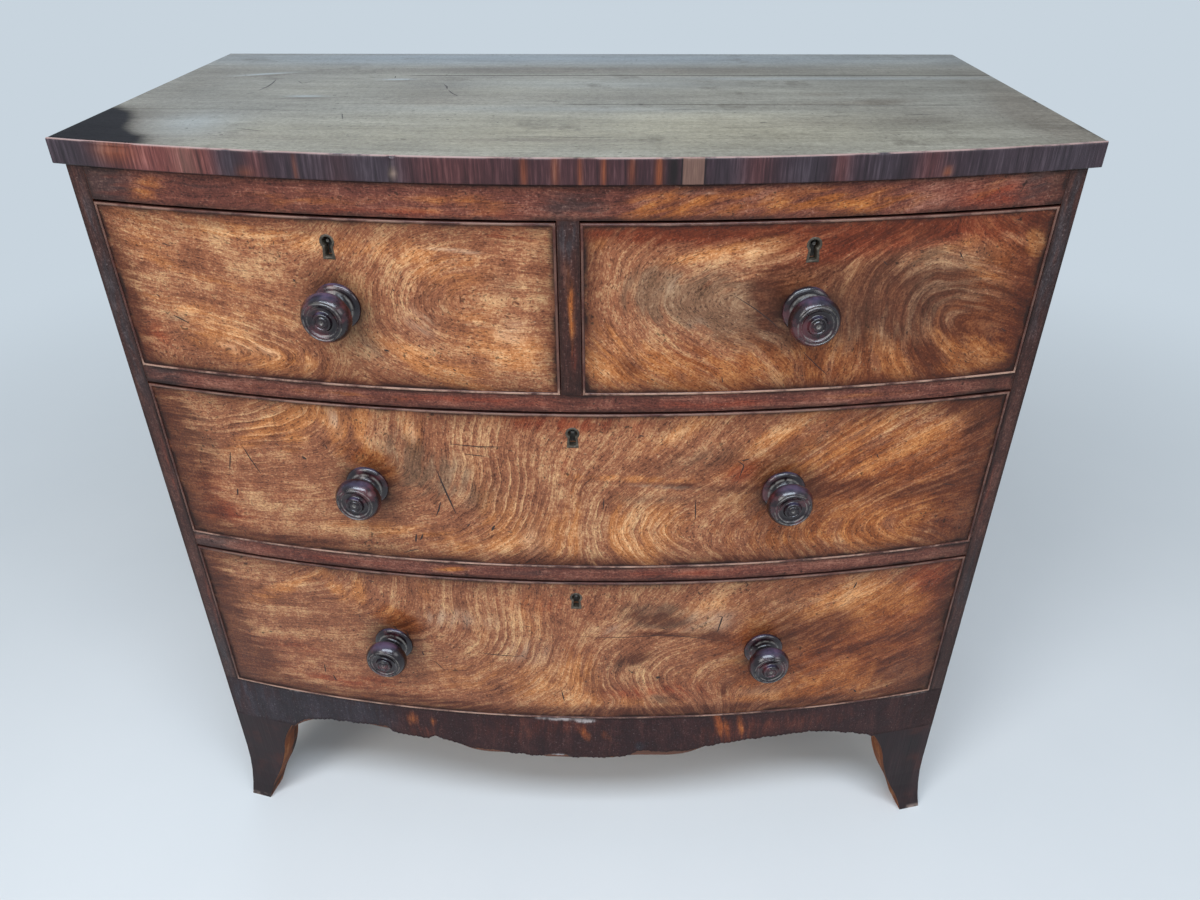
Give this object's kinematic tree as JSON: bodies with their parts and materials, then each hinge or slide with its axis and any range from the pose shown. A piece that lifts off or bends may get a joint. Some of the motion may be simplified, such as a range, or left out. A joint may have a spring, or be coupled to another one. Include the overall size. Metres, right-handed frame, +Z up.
{
  "type": "bow front chest of drawers",
  "caption": "Bow front chest of drawers: short drawers over long drawers with cockbeads, turned wooden knobs and brass keyhole threads, on splayed bracket feet with a shaped apron.",
  "frame": {"origin": "on the floor, at the middle of the chest's width and of its depth with the knobs", "axes": "+Z up, +X across the front to the right as seen from the front, +Y towards the back"},
  "size_m": [1, 0.571, 0.965],
  "materials": {
    "mahogany_top": "old, dry and worn",
    "mahogany_crossbanding": "old varnish, patchy",
    "mahogany_front": "flame veneer, satin varnish",
    "mahogany_bead": "satin varnish, worn edge",
    "mahogany_carcase": "satin varnish",
    "mahogany_base": "dark old varnish",
    "oak": "bare, aged",
    "pine": "bare, aged",
    "knob_wood": "dark, polished",
    "brass": "dull, tarnished",
    "steel": "dull"
  },
  "bodies": {
    "carcase": {"top_board_back": "mahogany_top", "top_board_front": "mahogany_top", "top_edge_banding": "mahogany_crossbanding", "side_left": "mahogany_carcase", "side_right": "mahogany_carcase", "frieze_rail": "mahogany_carcase", "divider_post": "mahogany_carcase", "partition_board": "pine", "upper_rail": "mahogany_carcase", "lower_rail": "mahogany_carcase", "bottom_rail": "mahogany_carcase", "dustboard_upper": "pine", "dustboard_lower": "pine", "bottom_board": "pine", "apron": "mahogany_base", "side_aprons": "mahogany_base", "foot_front_left": "mahogany_base", "foot_front_right": "mahogany_base", "foot_back_left": "mahogany_base", "foot_back_right": "mahogany_base", "back_boards": "pine", "drawer_runners": "pine", "kicker_strips": "pine", "drawer_stops": "pine"},
    "short_drawer_left": {"short_drawer_left_front": "mahogany_front", "short_drawer_left_cockbead": "mahogany_bead", "short_drawer_left_sides": "oak", "short_drawer_left_back": "oak", "short_drawer_left_bottom": "oak", "short_drawer_left_knob": "knob_wood", "short_drawer_left_escutcheon": "brass", "short_drawer_left_lock_case": "steel"},
    "short_drawer_left_bolt": {"short_drawer_left_lock_bolt": "steel"},
    "short_drawer_right": {"short_drawer_right_front": "mahogany_front", "short_drawer_right_cockbead": "mahogany_bead", "short_drawer_right_sides": "oak", "short_drawer_right_back": "oak", "short_drawer_right_bottom": "oak", "short_drawer_right_knob": "knob_wood", "short_drawer_right_escutcheon": "brass", "short_drawer_right_lock_case": "steel"},
    "short_drawer_right_bolt": {"short_drawer_right_lock_bolt": "steel"},
    "middle_drawer": {"middle_drawer_front": "mahogany_front", "middle_drawer_cockbead": "mahogany_bead", "middle_drawer_sides": "oak", "middle_drawer_back": "oak", "middle_drawer_bottom": "oak", "middle_drawer_knobs": "knob_wood", "middle_drawer_escutcheon": "brass", "middle_drawer_lock_case": "steel"},
    "middle_drawer_bolt": {"middle_drawer_lock_bolt": "steel"},
    "bottom_drawer": {"bottom_drawer_front": "mahogany_front", "bottom_drawer_cockbead": "mahogany_bead", "bottom_drawer_sides": "oak", "bottom_drawer_back": "oak", "bottom_drawer_bottom": "oak", "bottom_drawer_knobs": "knob_wood", "bottom_drawer_escutcheon": "brass", "bottom_drawer_lock_case": "steel"},
    "bottom_drawer_bolt": {"bottom_drawer_lock_bolt": "steel"}
  },
  "joints": [
    {"name": "short_drawer_left_slide", "type": "slide", "parent": "carcase", "child": "short_drawer_left", "axis": [0, -1, 0], "range_m": [0, 0.35]},
    {"name": "short_drawer_left_bolt_slide", "type": "slide", "parent": "short_drawer_left", "child": "short_drawer_left_bolt", "axis": [0, 0, 1], "range_m": [0, 0.008]},
    {"name": "short_drawer_right_slide", "type": "slide", "parent": "carcase", "child": "short_drawer_right", "axis": [0, -1, 0], "range_m": [0, 0.35]},
    {"name": "short_drawer_right_bolt_slide", "type": "slide", "parent": "short_drawer_right", "child": "short_drawer_right_bolt", "axis": [0, 0, 1], "range_m": [0, 0.008]},
    {"name": "middle_drawer_slide", "type": "slide", "parent": "carcase", "child": "middle_drawer", "axis": [0, -1, 0], "range_m": [0, 0.35]},
    {"name": "middle_drawer_bolt_slide", "type": "slide", "parent": "middle_drawer", "child": "middle_drawer_bolt", "axis": [0, 0, 1], "range_m": [0, 0.008]},
    {"name": "bottom_drawer_slide", "type": "slide", "parent": "carcase", "child": "bottom_drawer", "axis": [0, -1, 0], "range_m": [0, 0.35]},
    {"name": "bottom_drawer_bolt_slide", "type": "slide", "parent": "bottom_drawer", "child": "bottom_drawer_bolt", "axis": [0, 0, 1], "range_m": [0, 0.008]}
  ]
}
